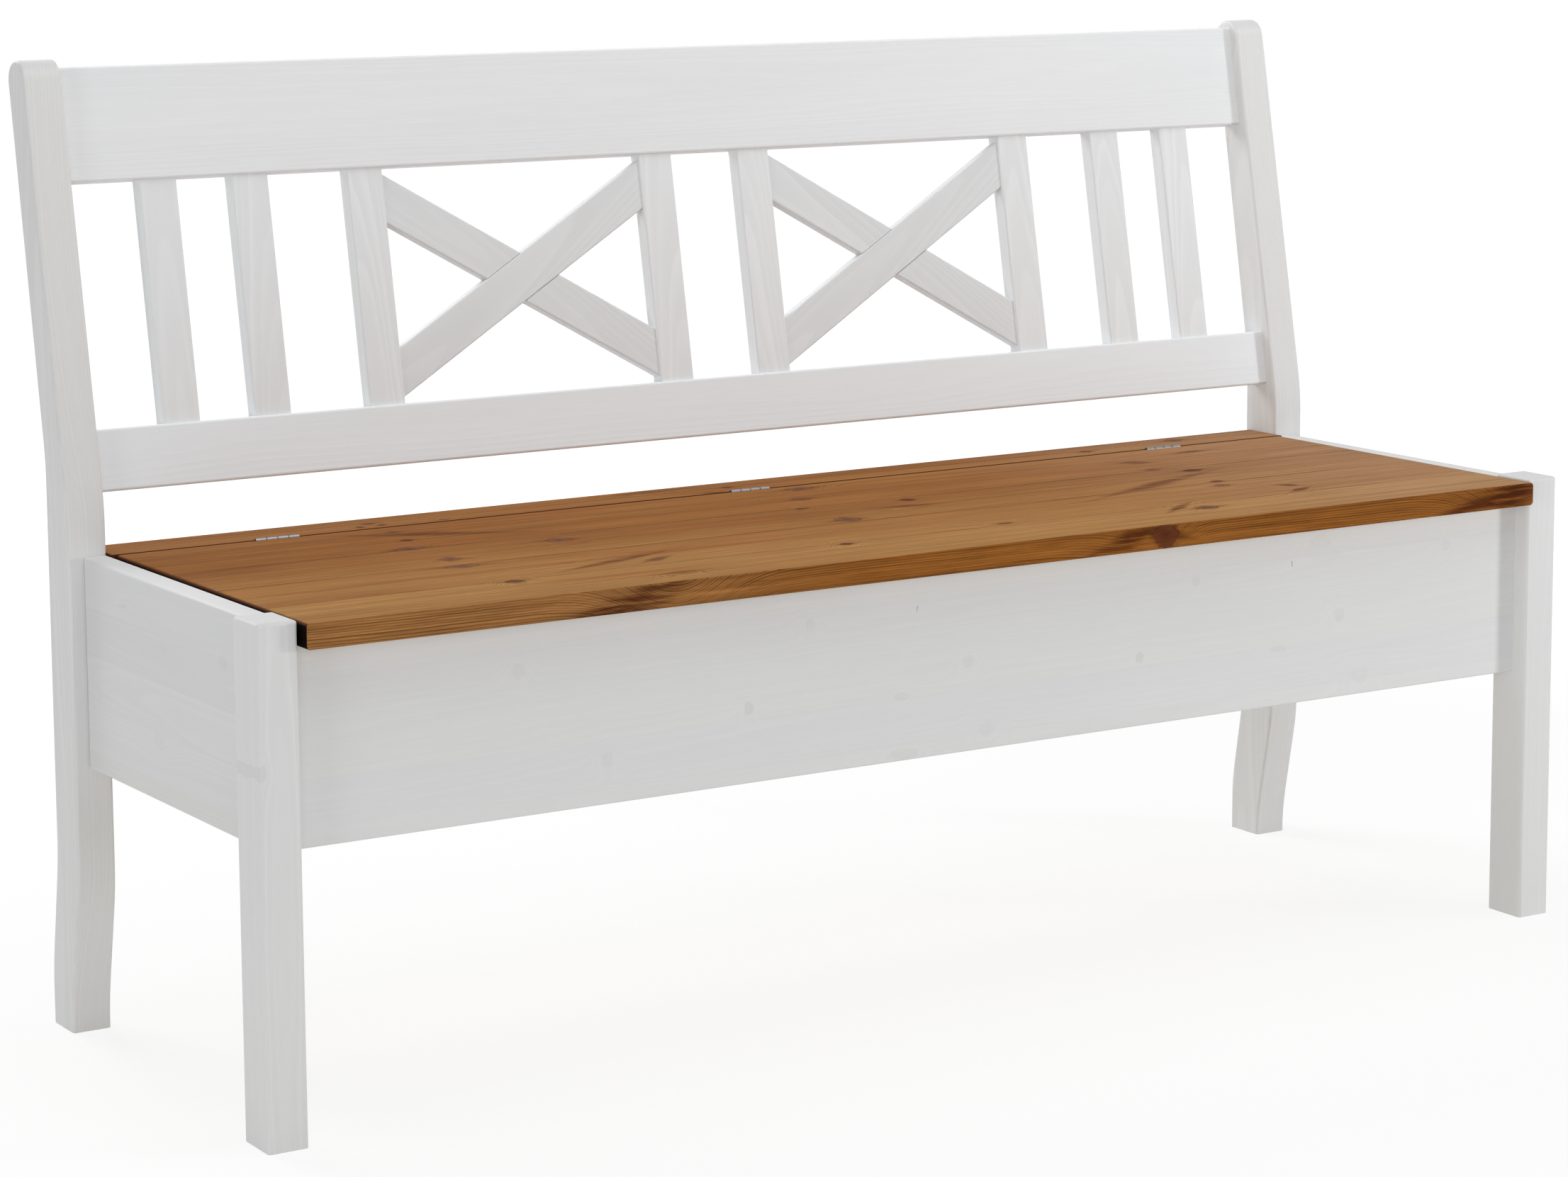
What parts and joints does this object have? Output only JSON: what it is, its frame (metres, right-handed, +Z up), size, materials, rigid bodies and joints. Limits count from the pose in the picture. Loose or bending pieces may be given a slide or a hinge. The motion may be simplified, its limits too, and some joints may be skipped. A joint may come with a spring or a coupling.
{
  "type": "storage bench",
  "caption": "Wooden storage bench: straight front legs, curved rear posts, leaning slatted backrest with crosses, box under a seat lid that opens on hinges.",
  "frame": {"origin": "on the floor, in the middle of the bench's outline in plan", "axes": "+X along the bench, to the right as seen from the front; +Y from front to back; +Z up"},
  "size_m": [1.5, 0.5476, 0.9375],
  "materials": {
    "painted_pine": "thin white paint, grain showing",
    "stained_pine": "brown stain, satin varnish",
    "bare_wood": "bare, planed",
    "zinc_steel": "bright zinc plate"
  },
  "bodies": {
    "bench": {"cross_dowels": "bare_wood", "end_panel_left": "painted_pine", "end_panel_right": "painted_pine", "floor_batten_front": "bare_wood", "floor_batten_rear": "bare_wood", "floor_batten_screws": "zinc_steel", "front_leg_left": "painted_pine", "front_leg_right": "painted_pine", "front_panel": "painted_pine", "hinge_fixed_screws": "zinc_steel", "hinge_left_fixed_leaf": "zinc_steel", "hinge_left_pin": "zinc_steel", "hinge_middle_fixed_leaf": "zinc_steel", "hinge_middle_pin": "zinc_steel", "hinge_right_fixed_leaf": "zinc_steel", "hinge_right_pin": "zinc_steel", "left_cross_falling_bar": "painted_pine", "left_cross_rising_bar": "painted_pine", "lower_rail": "painted_pine", "panel_dowels": "bare_wood", "rear_panel": "painted_pine", "rear_post_left": "painted_pine", "rear_post_right": "painted_pine", "rear_seat_board": "stained_pine", "right_cross_falling_bar": "painted_pine", "right_cross_rising_bar": "painted_pine", "seat_board_dowels": "bare_wood", "slat_1": "painted_pine", "slat_2": "painted_pine", "slat_3": "painted_pine", "slat_4": "painted_pine", "slat_5": "painted_pine", "slat_6": "painted_pine", "slat_7": "painted_pine", "slat_8": "painted_pine", "storage_floor": "bare_wood", "top_rail": "painted_pine"},
    "lid": {"hinge_left_lid_leaf": "zinc_steel", "hinge_lid_screws": "zinc_steel", "hinge_middle_lid_leaf": "zinc_steel", "hinge_right_lid_leaf": "zinc_steel", "lid_batten_left": "stained_pine", "lid_batten_middle": "stained_pine", "lid_batten_right": "stained_pine", "lid_batten_screws": "zinc_steel", "seat_lid": "stained_pine"}
  },
  "joints": [
    {"name": "lid_hinge", "type": "hinge", "parent": "bench", "child": "lid", "pos_m": [0, 0.14335, 0.4717], "axis": [-1, 0, 0], "range_deg": [0, 102]}
  ]
}
